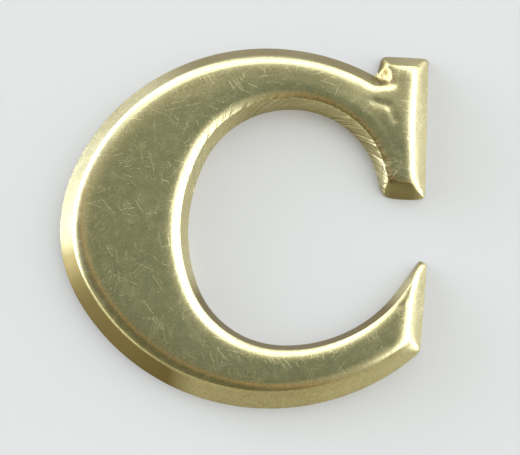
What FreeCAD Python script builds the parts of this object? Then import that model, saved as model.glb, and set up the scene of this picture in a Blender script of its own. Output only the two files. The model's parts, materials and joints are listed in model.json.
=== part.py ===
"""A capital C pressed from sheet brass, hollow at the back, with three tapped bosses soldered inside.

The letter lies on its trimmed rim with its face up. The origin is in the plane of the rim, midway
across the letter and midway up it. X runs in the reading direction, Y towards the letter's top and
Z out of its face. Lengths are in millimetres and angles in degrees.
"""

import FreeCAD, Part
import math
import os

# Overall sizes of the letter.
letter_height = 50.0
letter_width = 48.75
letter_depth = 2.9

# The sheet, and the press form: straight flanks with a rounded shoulder up to the flat face.
sheet_thickness = 0.8
outer_flank_angle = 49.0
counter_wall_angle = 63.0
shoulder_radius = 1.3
shoulder_steps = 6
narrowest_flat = 0.2

# The bowl, and the two curved strokes that leave it.
bowl_stroke = 17.1
upper_stroke = 8.6
lower_stroke = 8.6
bowl_level = -1.1
counter_level = -0.65
outer_roundness = 0.82
counter_roundness = 0.94

# How far right of the middle the highest and lowest points of the two ovals lie.
outer_top_offset = 3.7
outer_bottom_offset = 3.1
counter_top_offset = 6.5
counter_bottom_offset = 5.6

# The serif at the end of the upper stroke.
serif_height = 20.2
serif_drop = 0.3
serif_top_width = 6.4
notch_width = 7.05
notch_depth = 3.05
serif_foot_width = 5.75
foot_bulge = 0.25
beak_width = 6.75
beak_height = 3.8

# The pointed tail at the end of the lower stroke.
tail_height = 12.4
tail_corner_height = 8.7
tail_curl = 0.915

# The bosses: each takes a machine screw stud, so its bore is the thread's tapping size.
boss_diameter = 4.2
thread_bore = 2.5
boss_reach = 0.8
bowl_boss_level = -0.9
solder_leg = 0.6

right_edge = letter_width / 2
top_edge = letter_height / 2
left_edge = -right_edge
bottom_edge = -top_edge
OUTER = "outer"
COUNTER = "counter"


def vec(x, y, z=0.0):
    return FreeCAD.Vector(x, y, z)


def line_edge(side, start, end):
    """A straight edge of the outline, walked clockwise, so the metal lies on its right."""
    along = (end - start).normalize()
    inward = vec(along.y, -along.x)
    return {"side": side, "start": start, "end": end, "inward": inward, "centre": None}


def arc_edge(side, start, end, centre):
    """A round edge of the outline. The metal is inside an outer arc and outside a counter arc."""
    return {"side": side, "start": start, "end": end, "centre": centre}


def oval_radii(half_width, half_height, roundness):
    """Side and crown radius of a quarter oval made of two arcs that meet smoothly."""
    tight = roundness * min(half_width, half_height)
    long_half = max(half_width, half_height)
    short_half = min(half_width, half_height)
    wide = ((long_half - tight) ** 2 + short_half**2 - tight**2) / (2 * (short_half - tight))
    if half_width > half_height:
        return tight, wide
    return wide, tight


def oval_quarter(side, flank, crown, roundness):
    """The two arcs from the widest point of an oval (flank) to its highest or lowest (crown)."""
    half_width = abs(crown.x - flank.x)
    half_height = abs(crown.y - flank.y)
    side_radius, crown_radius = oval_radii(half_width, half_height, roundness)
    up = math.copysign(1.0, crown.y - flank.y)
    side_centre = vec(flank.x + side_radius, flank.y)
    crown_centre = vec(crown.x, crown.y - up * crown_radius)
    between = side_centre - crown_centre
    if side_radius > crown_radius:
        between = between.negative()
    joint = side_centre + between.normalize() * side_radius
    return [arc_edge(side, flank, joint, side_centre), arc_edge(side, joint, crown, crown_centre)]


def centre_from_crown(crown, end):
    """Centre of the arc that leaves a crown level and passes through another point."""
    across = end.x - crown.x
    down = crown.y - end.y
    return vec(crown.x, crown.y - (across**2 + down**2) / (2 * down))


def backwards(edges):
    """The same run of edges, walked the other way."""
    turned = []
    for edge in reversed(edges):
        turned.append(dict(edge, start=edge["end"], end=edge["start"]))
    return turned


def tail_inside(crown, tip):
    """The counter's run to the tip of the tail: a tight arc, then a straight edge."""
    whole = centre_from_crown(crown, tip)
    radius = tail_curl * (whole.y - crown.y)
    centre = vec(crown.x, crown.y + radius)
    to_tip = tip - centre
    heading = math.atan2(to_tip.y, to_tip.x) - math.acos(radius / to_tip.Length)
    leave = centre + vec(math.cos(heading), math.sin(heading)) * radius
    return [arc_edge(COUNTER, crown, leave, centre), line_edge(COUNTER, leave, tip)]


def key_points():
    """The points of the outline that the edges run between."""
    serif_top = top_edge - serif_drop
    foot = serif_top - serif_height
    return {
        "flank": vec(left_edge, bowl_level),
        "top": vec(outer_top_offset, top_edge),
        "notch": vec(right_edge - notch_width, serif_top - notch_depth),
        "serif_top_left": vec(right_edge - serif_top_width, serif_top),
        "serif_top_right": vec(right_edge, serif_top),
        "foot_right": vec(right_edge, foot + foot_bulge),
        "foot_left": vec(right_edge - serif_foot_width, foot + foot_bulge),
        "beak": vec(right_edge - beak_width, foot + beak_height),
        "counter_top": vec(counter_top_offset, top_edge - upper_stroke),
        "counter_flank": vec(left_edge + bowl_stroke, counter_level),
        "counter_bottom": vec(counter_bottom_offset, bottom_edge + lower_stroke),
        "tip": vec(right_edge, bottom_edge + tail_corner_height + tail_height),
        "tail_corner": vec(right_edge, bottom_edge + tail_corner_height),
        "bottom": vec(outer_bottom_offset, bottom_edge),
    }


def foot_edge(start, end):
    """The serif's lower end, which bulges a little."""
    half = (start.x - end.x) / 2
    radius = (half**2 + foot_bulge**2) / (2 * foot_bulge)
    centre = vec((start.x + end.x) / 2, start.y - foot_bulge + radius)
    return arc_edge(OUTER, start, end, centre)


def letter_edges():
    """The outline of the letter, clockwise from its leftmost point."""
    at = key_points()
    edges = oval_quarter(OUTER, at["flank"], at["top"], outer_roundness)
    notch_centre = centre_from_crown(at["top"], at["notch"])
    edges.append(arc_edge(OUTER, at["top"], at["notch"], notch_centre))
    edges.append(line_edge(OUTER, at["notch"], at["serif_top_left"]))
    edges.append(line_edge(OUTER, at["serif_top_left"], at["serif_top_right"]))
    edges.append(line_edge(OUTER, at["serif_top_right"], at["foot_right"]))
    edges.append(foot_edge(at["foot_right"], at["foot_left"]))
    edges.append(line_edge(COUNTER, at["foot_left"], at["beak"]))
    beak_centre = centre_from_crown(at["counter_top"], at["beak"])
    edges.append(arc_edge(COUNTER, at["beak"], at["counter_top"], beak_centre))
    edges += backwards(
        oval_quarter(COUNTER, at["counter_flank"], at["counter_top"], counter_roundness)
    )
    edges += oval_quarter(COUNTER, at["counter_flank"], at["counter_bottom"], counter_roundness)
    edges += tail_inside(at["counter_bottom"], at["tip"])
    edges.append(line_edge(OUTER, at["tip"], at["tail_corner"]))
    tail_centre = centre_from_crown(at["bottom"], at["tail_corner"])
    edges.append(arc_edge(OUTER, at["tail_corner"], at["bottom"], tail_centre))
    edges += backwards(oval_quarter(OUTER, at["flank"], at["bottom"], outer_roundness))
    return edges


def inward_at(edge, point):
    """Unit direction into the metal, square to an edge at one of its points."""
    if edge["centre"] is None:
        return edge["inward"]
    towards = (edge["centre"] - point).normalize()
    return towards if edge["side"] == OUTER else towards.negative()


def moved_radius(edge, insets):
    """Radius of a round edge once it has moved into the metal."""
    radius = (edge["start"] - edge["centre"]).Length
    if edge["side"] == OUTER:
        return radius - insets[OUTER]
    return radius + insets[COUNTER]


def moved_line(edge, insets):
    """A point on a straight edge once it has moved into the metal, and its direction."""
    along = (edge["end"] - edge["start"]).normalize()
    return edge["start"] + edge["inward"] * insets[edge["side"]], along


def line_meets_line(first, second):
    """Where two lines cross, each given as a point and a direction."""
    start, along = first
    other, heading = second
    gap = other - start
    reach = gap.x * heading.y - gap.y * heading.x
    return start + along * (reach / (along.x * heading.y - along.y * heading.x))


def line_meets_circle(line, centre, radius):
    """The two points where a line crosses a circle."""
    point, along = line
    foot = point + along * (centre - point).dot(along)
    half = math.sqrt(radius**2 - (foot - centre).Length ** 2)
    return [foot + along * half, foot - along * half]


def moved_joint(before, after, insets):
    """Where two edges that follow each other meet once both have moved into the metal."""
    joint = after["start"]
    normal = inward_at(after, joint)
    if inward_at(before, joint).dot(normal) > 0.99999:
        return joint + normal * insets[after["side"]]
    if before["centre"] is None and after["centre"] is None:
        return line_meets_line(moved_line(before, insets), moved_line(after, insets))
    line, arc = (before, after) if before["centre"] is None else (after, before)
    found = line_meets_circle(moved_line(line, insets), arc["centre"], moved_radius(arc, insets))
    return min(found, key=lambda point: (point - joint).Length)


def moved_outline(outer_inset, counter_inset, level):
    """The letter's outline moved into the metal, at one height: each edge with its side."""
    insets = {OUTER: outer_inset, COUNTER: counter_inset}
    edges = letter_edges()
    joints = []
    for number, edge in enumerate(edges):
        joints.append(moved_joint(edges[number - 1], edge, insets))
    lift = vec(0, 0, level)
    moved = []
    for number, edge in enumerate(edges):
        start = joints[number]
        end = joints[(number + 1) % len(joints)]
        if edge["centre"] is None:
            curve = Part.LineSegment(start + lift, end + lift)
        else:
            towards = ((start + end) * 0.5 - edge["centre"]).normalize()
            middle = edge["centre"] + towards * moved_radius(edge, insets)
            curve = Part.Arc(start + lift, middle + lift, end + lift)
        moved.append((edge["side"], curve.toShape()))
    return moved


def outline_wire(outer_inset, counter_inset, level):
    """The moved outline as one closed wire."""
    return Part.Wire([edge for side, edge in moved_outline(outer_inset, counter_inset, level)])


def flank_run(angle, depth):
    """How far a straight flank leans in over its depth."""
    return depth / math.tan(math.radians(angle))


def fitting_radius(radius, depth, sheet):
    """The shoulder radius, limited so that the narrow foot of the serif keeps a flat top."""
    lean = beak_height / math.hypot(beak_height, beak_width - serif_foot_width)
    outer = skin_inset(outer_flank_angle, sheet) + flank_run(outer_flank_angle, depth)
    counter = skin_inset(counter_wall_angle, sheet) + flank_run(counter_wall_angle, depth)
    room = serif_foot_width - narrowest_flat - outer - counter / lean
    outer_tangent = math.tan(math.radians(outer_flank_angle / 2))
    counter_tangent = math.tan(math.radians(counter_wall_angle / 2))
    return min(radius, room / (outer_tangent + counter_tangent / lean))


def skin_inset(angle, sheet):
    """How far in from the outer skin the inside of the sheet lies, at the rim."""
    return sheet / math.sin(math.radians(angle))


def inset_at(level, angle, depth, radius, sheet):
    """How far a flank and its shoulder have leaned in at one height."""
    slope = math.radians(angle)
    start = skin_inset(angle, sheet)
    if level <= depth - radius * (1 - math.cos(slope)):
        return start + flank_run(angle, level)
    centre = start + flank_run(angle, depth) + radius * math.tan(slope / 2)
    return centre - math.sqrt(max(radius**2 - (level - depth + radius) ** 2, 0.0))


def press_form(depth, radius, sheet):
    """A solid with the letter's flanks, shoulders and flat face, set in by the sheet given."""
    turns = [counter_wall_angle]
    for step in range(shoulder_steps + 1):
        turns.append(outer_flank_angle * (1 - step / shoulder_steps))
    levels = [0.0]
    for turn in turns:
        levels.append(depth - radius * (1 - math.cos(math.radians(turn))))
    rings = []
    for level in levels:
        outer = inset_at(level, outer_flank_angle, depth, radius, sheet)
        counter = inset_at(level, counter_wall_angle, depth, radius, sheet)
        rings.append(outline_wire(outer, counter, level))
    return Part.makeLoft(rings, True, True)


def letter_shell():
    """The pressed sheet: the outer form less the hollow inside it, open at the rim."""
    form = press_form(letter_depth, skin_radius, 0.0)
    return form.cut(press_form(roof_level, hollow_radius, sheet_thickness))


def midway(counter_wall, outer_wall, start, end):
    """The point between two walls, on a line from one to the other, that is as far from both."""
    for halving in range(30):
        middle = (start + end) * 0.5
        spot = Part.Vertex(middle)
        if spot.distToShape(counter_wall)[0] < spot.distToShape(outer_wall)[0]:
            start = middle
        else:
            end = middle
    return start


def boss_places():
    """Middles of the hollow's roof: in the bowl, and where each curved stroke leaves it."""
    outer = inset_at(roof_level, outer_flank_angle, roof_level, hollow_radius, sheet_thickness)
    counter = inset_at(roof_level, counter_wall_angle, roof_level, hollow_radius, sheet_thickness)
    roof = moved_outline(outer, counter, 0.0)
    counter_wall = Part.makeCompound([edge for side, edge in roof if side == COUNTER])
    outer_wall = Part.makeCompound([edge for side, edge in roof if side == OUTER])
    flank = key_points()["counter_flank"]
    stroke_x = flank.x + boss_reach
    starts = {
        "bowl": (vec(flank.x, bowl_boss_level), vec(left_edge, bowl_boss_level)),
        "upper": (vec(stroke_x, counter_level), vec(stroke_x, top_edge)),
        "lower": (vec(stroke_x, counter_level), vec(stroke_x, bottom_edge)),
    }
    return {name: midway(counter_wall, outer_wall, *ends) for name, ends in starts.items()}


def boss(place):
    """A round boss from the rim up to the hollow's roof, bored through for its thread."""
    body = Part.makeCylinder(boss_diameter / 2, roof_level, place)
    return body.cut(Part.makeCylinder(thread_bore / 2, roof_level, place))


def solder_ring(place):
    """The fillet of solder between a boss and the roof, with a hollow face, all round."""
    wall = boss_diameter / 2
    corner = vec(wall, 0, roof_level)
    toe = vec(wall + solder_leg, 0, roof_level)
    head = vec(wall, 0, roof_level - solder_leg)
    bulge_centre = vec(wall + solder_leg, 0, roof_level - solder_leg)
    waist = bulge_centre + (corner - bulge_centre).normalize() * solder_leg
    sides = [Part.LineSegment(head, corner), Part.LineSegment(corner, toe), Part.Arc(toe, waist, head)]
    profile = Part.Face(Part.Wire([side.toShape() for side in sides]))
    ring = profile.revolve(vec(0, 0, 0), vec(0, 0, 1), 360)
    ring.translate(place)
    return ring


roof_level = letter_depth - sheet_thickness
skin_radius = fitting_radius(shoulder_radius, letter_depth, 0.0)
hollow_radius = fitting_radius(skin_radius - sheet_thickness, roof_level, sheet_thickness)

nodes = {"letter_shell": letter_shell()}
for name, place in boss_places().items():
    nodes[name + "_boss"] = boss(place)
    nodes[name + "_solder"] = solder_ring(place)
    print(f"{name} boss stands at {place.x:.3f}, {place.y:.3f}")

os.makedirs("parts", exist_ok=True)
for name, shape in nodes.items():
    print(f"{name}: {shape.Volume:.2f} cubic millimetres, valid {shape.isValid()}")
    shape.exportStep(f"parts/{name}.step")
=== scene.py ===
# %% [markdown]
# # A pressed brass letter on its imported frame
#
# The object is a capital C of the kind that is fixed to a door, a box or a plaque. It is one
# sheet of brass, pressed over a form: straight flanks, rounded shoulders and a flat face, hollow
# at the back. Three tapped bosses are soldered inside it, for the studs that hold it to a wall.
#
# The frame gives every piece its place. The letter lies on its trimmed rim at height zero. X runs
# in the reading direction, Y up the letter and Z out of its face. Blender works in metres, and
# the sizes below are written in millimetres.

import bmesh
import bpy
import json
import math
from mathutils import Matrix, Vector, noise
from mathutils.kdtree import KDTree

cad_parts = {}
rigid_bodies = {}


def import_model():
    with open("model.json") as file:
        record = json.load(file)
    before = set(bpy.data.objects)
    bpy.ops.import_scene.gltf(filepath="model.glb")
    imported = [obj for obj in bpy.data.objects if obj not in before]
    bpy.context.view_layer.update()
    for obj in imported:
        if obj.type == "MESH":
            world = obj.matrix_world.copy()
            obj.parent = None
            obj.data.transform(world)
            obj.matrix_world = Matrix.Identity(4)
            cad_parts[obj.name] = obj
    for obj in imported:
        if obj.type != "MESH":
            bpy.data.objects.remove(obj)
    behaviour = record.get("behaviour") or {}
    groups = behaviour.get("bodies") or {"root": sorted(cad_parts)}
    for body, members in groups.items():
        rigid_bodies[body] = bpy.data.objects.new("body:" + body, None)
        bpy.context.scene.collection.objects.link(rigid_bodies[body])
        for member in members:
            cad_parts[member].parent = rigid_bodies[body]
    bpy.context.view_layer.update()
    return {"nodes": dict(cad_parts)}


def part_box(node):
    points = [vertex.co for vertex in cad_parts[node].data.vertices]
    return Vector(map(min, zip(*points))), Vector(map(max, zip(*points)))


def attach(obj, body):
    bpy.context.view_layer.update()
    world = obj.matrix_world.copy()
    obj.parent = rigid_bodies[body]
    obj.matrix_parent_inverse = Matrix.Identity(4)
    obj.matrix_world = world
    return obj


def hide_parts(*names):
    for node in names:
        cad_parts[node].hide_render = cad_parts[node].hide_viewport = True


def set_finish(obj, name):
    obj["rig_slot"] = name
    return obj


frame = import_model()
MM = 0.001
shell_low, shell_high = (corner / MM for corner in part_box("letter_shell"))
print("letter", [round(size, 2) for size in shell_high - shell_low], "mm")

# %% [markdown]
# ## Helpers for working in edit mode
#
# An operator acts on whatever is selected, so each piece starts with nothing selected. A piece
# begins as one point, grows into a ring, and its rings are then extruded one from the other. A
# number kept on each vertex, its station, says which place along the ring it belongs to, and
# extrude copies that number. So a new ring can be moved, vertex by vertex, to places that were
# worked out.

# %% Start a piece, and see its mesh in edit mode
STATION = "station"


def start_piece(name, place):
    """A new object in edit mode that holds one selected vertex, merged from a plane."""
    bpy.ops.object.select_all(action="DESELECT")
    bpy.ops.mesh.primitive_plane_add(size=MM, location=(0, 0, 0))
    piece = bpy.context.object
    piece.name = name
    piece.data.name = name
    bpy.ops.object.mode_set(mode="EDIT")
    bpy.ops.mesh.merge(type="CENTER")
    bpy.ops.transform.translate(value=place)
    bpy.context.tool_settings.mesh_select_mode = (True, False, False)
    return piece


def edit_mesh():
    """The mesh of the piece that is in edit mode, with its index tables up to date."""
    mesh = bmesh.from_edit_mesh(bpy.context.object.data)
    mesh.verts.ensure_lookup_table()
    return mesh


print("each vertex keeps its place along the ring in the layer", STATION)


# %% Select faces and open edges by what they are
def select_faces(chosen):
    """Select only the faces for which chosen(face) is true."""
    bpy.ops.mesh.select_all(action="DESELECT")
    mesh = edit_mesh()
    for face in mesh.faces:
        if chosen(face):
            face.select_set(True)
    bmesh.update_edit_mesh(bpy.context.object.data)


def select_open_edges():
    """Select the edges that only one face uses, which is where a skin still ends."""
    bpy.ops.mesh.select_all(action="DESELECT")
    bpy.ops.mesh.select_non_manifold(
        extend=False, use_wire=False, use_boundary=True, use_multi_face=False,
        use_non_contiguous=False, use_verts=False,
    )


CAP_SIDES = 100


def is_cap(face):
    """The face that fills the last ring has a side for each station, so it has by far the most."""
    return len(face.verts) > CAP_SIDES


print("a face with more than", CAP_SIDES, "sides is a cap")


# %% Number the stations, and extrude from ring to ring
def number_stations(points):
    """Keep on each vertex the number of the point that it stands on."""
    tree = KDTree(len(points))
    for number, point in enumerate(points):
        tree.insert(point, number)
    tree.balance()
    mesh = edit_mesh()
    layer = mesh.verts.layers.int.new(STATION)
    for vert in mesh.verts:
        vert[layer] = tree.find(vert.co)[1]
    bmesh.update_edit_mesh(bpy.context.object.data)
    print("stations:", len(points), "vertices:", len(mesh.verts))


def move_ring(points):
    """Move every vertex of the selected ring to its station's point."""
    mesh = edit_mesh()
    layer = mesh.verts.layers.int[STATION]
    for vert in mesh.verts:
        if vert.select:
            vert.co = points[vert[layer]]
    bmesh.update_edit_mesh(bpy.context.object.data)


def extrude_to(points):
    """Extrude the selected ring, and move the new ring to its stations' points."""
    bpy.ops.mesh.extrude_edges_move()
    move_ring(points)


# %% Cut faces into cells, and finish a piece
def cut_into_cells(cell, low, high):
    """Bisect the selected faces into square cells. The rest is hidden, so that it isn't cut."""
    bpy.ops.mesh.hide(unselected=True)
    for axis in (0, 1):
        normal = tuple(1.0 if axis == way else 0.0 for way in range(3))
        for step in range(1, int((high[axis] - low[axis]) / cell) + 1):
            place = tuple(way * (low[axis] + step * cell) * MM for way in normal)
            bpy.ops.mesh.select_all(action="SELECT")
            bpy.ops.mesh.bisect(plane_co=place, plane_no=normal)
    bpy.ops.mesh.reveal(select=False)


def finish_piece(piece, smooth_angle=35):
    """Turn the faces outwards, leave edit mode and shade the piece smoothly."""
    bpy.ops.mesh.select_all(action="SELECT")
    bpy.ops.mesh.normals_make_consistent(inside=False)
    if edit_mesh().calc_volume(signed=True) < 0:
        bpy.ops.mesh.flip_normals()
    bpy.ops.object.mode_set(mode="OBJECT")
    bpy.ops.object.shade_smooth_by_angle(angle=math.radians(smooth_angle))
    mesh = bmesh.new()
    mesh.from_mesh(piece.data)
    open_edges = sum(1 for edge in mesh.edges if not edge.is_manifold)
    volume = mesh.calc_volume(signed=True) / MM**3
    print(f"{piece.name}: {len(mesh.faces)} faces, {open_edges} open edges, {volume:.1f} mm3")
    mesh.free()


# %% [markdown]
# ## The outline of the letter
#
# The trimmed edge of the sheet is a run of arcs that meet smoothly, with straight edges at the
# serif and the tail. It is walked clockwise, so the metal is always on the right. Each edge
# belongs to the outside of the letter or to its counter, the open middle, because the two walls
# lean at different angles. To draw the sheet up to its face, each ring is the same outline moved
# into the metal.

# %% Places on the outline
LEFT, BOTTOM = shell_low.x, shell_low.y
RIGHT, TOP, FACE = shell_high.x, shell_high.y, shell_high.z
OUTER, COUNTER = "outer", "counter"
serif_top, serif_foot = TOP - 0.3, TOP - 20.5
tail_corner = BOTTOM + 8.7
AT = {
    "flank": Vector((LEFT, -1.1)),
    "top": Vector((3.7, TOP)),
    "notch": Vector((RIGHT - 7.05, serif_top - 3.05)),
    "serif_left": Vector((RIGHT - 6.4, serif_top)),
    "serif_right": Vector((RIGHT, serif_top)),
    "foot_right": Vector((RIGHT, serif_foot + 0.25)),
    "foot_left": Vector((RIGHT - 5.75, serif_foot + 0.25)),
    "beak": Vector((RIGHT - 6.75, serif_foot + 3.8)),
    "counter_top": Vector((6.5, TOP - 8.6)),
    "counter_flank": Vector((LEFT + 17.1, -0.65)),
    "counter_bottom": Vector((5.6, BOTTOM + 8.6)),
    "tip": Vector((RIGHT + 0.6, tail_corner + 14.1)),
    "tail_corner": Vector((RIGHT - 0.05, tail_corner)),
    "bottom": Vector((3.1, BOTTOM)),
}
print(len(AT), "places, and a face", round(FACE, 2), "mm above the rim")


# %% [markdown]
# A straight edge is known by its two ends, and an arc by its centre too. A quarter of the bowl
# isn't a quarter of a circle, so it is made of two arcs, a tight one and a slack one, with a
# common tangent where they meet. The arcs that run out to the serif and the tail leave the crown
# level, so their centre follows from the two ends alone.

# %% Straight edges and arcs
def line(side, start, end):
    """A straight edge, with the direction that points from it into the metal."""
    along = (end - start).normalized()
    return {"side": side, "start": start, "end": end, "inward": Vector((along.y, -along.x))}


def arc(side, start, end, centre):
    """A round edge."""
    return {"side": side, "start": start, "end": end, "centre": centre}


def oval(side, flank, crown, roundness):
    """Two arcs that meet smoothly, from an oval's widest point to its highest or lowest."""
    wide, tall = abs(crown.x - flank.x), abs(crown.y - flank.y)
    tight = roundness * min(wide, tall)
    long, short = max(wide, tall), min(wide, tall)
    slack = ((long - tight) ** 2 + short**2 - tight**2) / (2 * (short - tight))
    side_radius, crown_radius = (tight, slack) if wide > tall else (slack, tight)
    up = math.copysign(1.0, crown.y - flank.y)
    side_centre = Vector((flank.x + side_radius, flank.y))
    crown_centre = Vector((crown.x, crown.y - up * crown_radius))
    between = side_centre - crown_centre
    if side_radius > crown_radius:
        between = -between
    joint = side_centre + between.normalized() * side_radius
    return [arc(side, flank, joint, side_centre), arc(side, joint, crown, crown_centre)]


def below_crown(crown, end):
    """Centre of the arc that leaves a crown level and passes through another point."""
    across, down = end.x - crown.x, crown.y - end.y
    return Vector((crown.x, crown.y - (across**2 + down**2) / (2 * down)))


def backwards(edges):
    """The same edges, walked the other way."""
    return [dict(edge, start=edge["end"], end=edge["start"]) for edge in reversed(edges)]


upper_drop = TOP - below_crown(AT["top"], AT["notch"]).y
print("the arc from the top to the notch has a radius of", round(upper_drop, 1), "mm")


# %% The whole outline
OUTER_ROUND, COUNTER_ROUND = 0.82, 0.94
TAIL_CURL, FOOT_BULGE = 0.916, 0.25


def tail_inside(crown, tip):
    """A tight arc out of the counter's lowest point, then a straight edge to the tip."""
    radius = TAIL_CURL * (below_crown(crown, tip).y - crown.y)
    centre = Vector((crown.x, crown.y + radius))
    to_tip = tip - centre
    heading = math.atan2(to_tip.y, to_tip.x) - math.acos(radius / to_tip.length)
    leave = centre + Vector((math.cos(heading), math.sin(heading))) * radius
    return [arc(COUNTER, crown, leave, centre), line(COUNTER, leave, tip)]


def foot(start, end):
    """The serif's lower end, which bulges a little."""
    half = (start.x - end.x) / 2
    radius = (half**2 + FOOT_BULGE**2) / (2 * FOOT_BULGE)
    centre = Vector(((start.x + end.x) / 2, start.y - FOOT_BULGE + radius))
    return arc(OUTER, start, end, centre)


def letter_edges():
    """The outline, clockwise from its leftmost point."""
    edges = oval(OUTER, AT["flank"], AT["top"], OUTER_ROUND)
    edges.append(arc(OUTER, AT["top"], AT["notch"], below_crown(AT["top"], AT["notch"])))
    edges.append(line(COUNTER, AT["notch"], AT["serif_left"]))
    edges.append(line(OUTER, AT["serif_left"], AT["serif_right"]))
    edges.append(line(OUTER, AT["serif_right"], AT["foot_right"]))
    edges.append(foot(AT["foot_right"], AT["foot_left"]))
    edges.append(line(COUNTER, AT["foot_left"], AT["beak"]))
    beak_centre = below_crown(AT["counter_top"], AT["beak"])
    edges.append(arc(COUNTER, AT["beak"], AT["counter_top"], beak_centre))
    edges += backwards(oval(COUNTER, AT["counter_flank"], AT["counter_top"], COUNTER_ROUND))
    edges += oval(COUNTER, AT["counter_flank"], AT["counter_bottom"], COUNTER_ROUND)
    edges += tail_inside(AT["counter_bottom"], AT["tip"])
    edges.append(line(OUTER, AT["tip"], AT["tail_corner"]))
    tail_centre = below_crown(AT["bottom"], AT["tail_corner"])
    edges.append(arc(OUTER, AT["tail_corner"], AT["bottom"], tail_centre))
    edges += backwards(oval(OUTER, AT["flank"], AT["bottom"], OUTER_ROUND))
    return edges


EDGES = letter_edges()
print(len(EDGES), "edges in the outline")

# %% [markdown]
# The edges of the tail would run to a point as thin as paper. The real tip is cut blunt, square
# to the way in which it points, so the cut is one more edge that only the tip needs.

# %% The blunt cut of the tail's tip
TIP_AXIS = Vector((0.307, 0.952))
TIP_MIDDLE = Vector((RIGHT, tail_corner + 12.25))
TIP_HALF = 1.2
across_tip = Vector((TIP_AXIS.y, -TIP_AXIS.x)) * TIP_HALF
TIP_CUT = line(OUTER, TIP_MIDDLE - across_tip, TIP_MIDDLE + across_tip)
print("the tip points", round(math.degrees(math.atan2(TIP_AXIS.y, TIP_AXIS.x))), "degrees up")


# %% [markdown]
# Moved into the metal, an arc keeps its centre and changes its radius, and a straight edge slides
# sideways. Neighbours that ran on smoothly still do so. At a corner they meet somewhere new, and
# that place is worked out again for each ring.

# %% Move the outline into the metal
RUNS_ON = 0.99999  # cosine between two edges above which they meet without a corner


def inward_at(edge, point):
    """Direction from a point of an edge into the metal."""
    if "centre" not in edge:
        return edge["inward"]
    towards = (edge["centre"] - point).normalized()
    return towards if edge["side"] == OUTER else -towards


def moved_radius(edge, insets):
    """Radius of an arc that has moved into the metal."""
    radius = (edge["start"] - edge["centre"]).length
    return radius - insets[OUTER] if edge["side"] == OUTER else radius + insets[COUNTER]


def moved_line(edge, insets):
    """A point and the direction of a straight edge that has moved into the metal."""
    along = (edge["end"] - edge["start"]).normalized()
    return edge["start"] + edge["inward"] * insets[edge["side"]], along


def moved_joint(before, after, insets):
    """Where two neighbouring edges meet once both have moved."""
    joint = after["start"]
    normal = inward_at(after, joint)
    if inward_at(before, joint).dot(normal) > RUNS_ON:
        return joint + normal * insets[after["side"]]
    if "centre" not in before and "centre" not in after:
        start, along = moved_line(before, insets)
        other, heading = moved_line(after, insets)
        gap = other - start
        return start + along * (gap.cross(heading) / along.cross(heading))
    straight, round_edge = (before, after) if "centre" not in before else (after, before)
    point, along = moved_line(straight, insets)
    nearest = point + along * (round_edge["centre"] - point).dot(along)
    radius = moved_radius(round_edge, insets)
    half = math.sqrt(radius**2 - (nearest - round_edge["centre"]).length ** 2)
    ends = [nearest + along * half, nearest - along * half]
    return min(ends, key=lambda end: (end - joint).length)


moved_top = moved_joint(EDGES[1], EDGES[2], {OUTER: 1.0, COUNTER: 1.0})
print("moved 1 mm in, the top is at", [round(value, 2) for value in moved_top])


# %% Divide the outline into stations
SPACING = 0.24
CORNER_ROUNDING = {  # passes that round each corner of the rim
    "notch": 9, "serif_left": 12, "serif_right": 9, "foot_right": 6,
    "foot_left": 16, "beak": 8, "tip": 10, "tail_corner": 6,
}


def sweep_of(edge, start, end):
    """Angle of the start seen from the centre, and the turn to the end."""
    first, last = start - edge["centre"], end - edge["centre"]
    begin = math.atan2(first.y, first.x)
    turn = math.atan2(last.y, last.x) - begin
    if edge["side"] == OUTER:
        return begin, -((-turn) % (2 * math.pi))
    return begin, turn % (2 * math.pi)


def edge_length(edge):
    """Length of an edge, straight or round."""
    if "centre" not in edge:
        return (edge["end"] - edge["start"]).length
    turn = sweep_of(edge, edge["start"], edge["end"])[1]
    return abs(turn) * (edge["start"] - edge["centre"]).length


STEPS = [max(8, round(edge_length(edge) / SPACING)) for edge in EDGES]
SIDES = [edge["side"] for edge, steps in zip(EDGES, STEPS) for step in range(steps)]
CORNERS, RUN_OF = {}, []  # station of each corner, and the run between corners of each edge
for number, edge in enumerate(EDGES):
    meeting = inward_at(EDGES[number - 1], edge["start"]).dot(inward_at(edge, edge["start"]))
    if meeting < RUNS_ON:
        corner = next(name for name, place in AT.items() if place == edge["start"])
        CORNERS[corner] = sum(STEPS[:number])
    RUN_OF.append(len(CORNERS))
RUN_OF = [run % len(CORNERS) for run in RUN_OF]
print(sum(STEPS), "stations round the outline, with corners at", CORNERS)


# %% One ring of the outline, and its rounded corners
CORNER_REACH = 12


def ring_points(outer, counter, level):
    """The outline moved into the metal: one point for each station."""
    insets = {OUTER: outer, COUNTER: counter}
    joints = [moved_joint(EDGES[n - 1], edge, insets) for n, edge in enumerate(EDGES)]
    points = []
    for number, edge in enumerate(EDGES):
        start, end = joints[number], joints[(number + 1) % len(joints)]
        for step in range(STEPS[number]):
            share = step / STEPS[number]
            if "centre" not in edge:
                spot = start.lerp(end, share)
            else:
                begin, turn = sweep_of(edge, start, end)
                angle = begin + turn * share
                radius = moved_radius(edge, insets)
                spot = edge["centre"] + Vector((math.cos(angle), math.sin(angle))) * radius
            points.append(Vector((spot.x, spot.y, level)))
    return points


def soften(points, extra):
    """Round the ring's corners: each pass pulls the stations near a corner together."""
    count = len(points)
    for name, corner in CORNERS.items():
        for turn in range(CORNER_ROUNDING[name] + extra):
            moved = list(points)
            for step in range(-CORNER_REACH, CORNER_REACH + 1):
                here = (corner + step) % count
                middle = (points[here - 1] + points[(here + 1) % count]) / 2
                pull = 0.5 * (1 - abs(step) / (CORNER_REACH + 1))
                moved[here] = points[here].lerp(middle, pull)
            points = moved
    return points


print("a ring has", len(ring_points(0, 0, 0)), "points")

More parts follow.
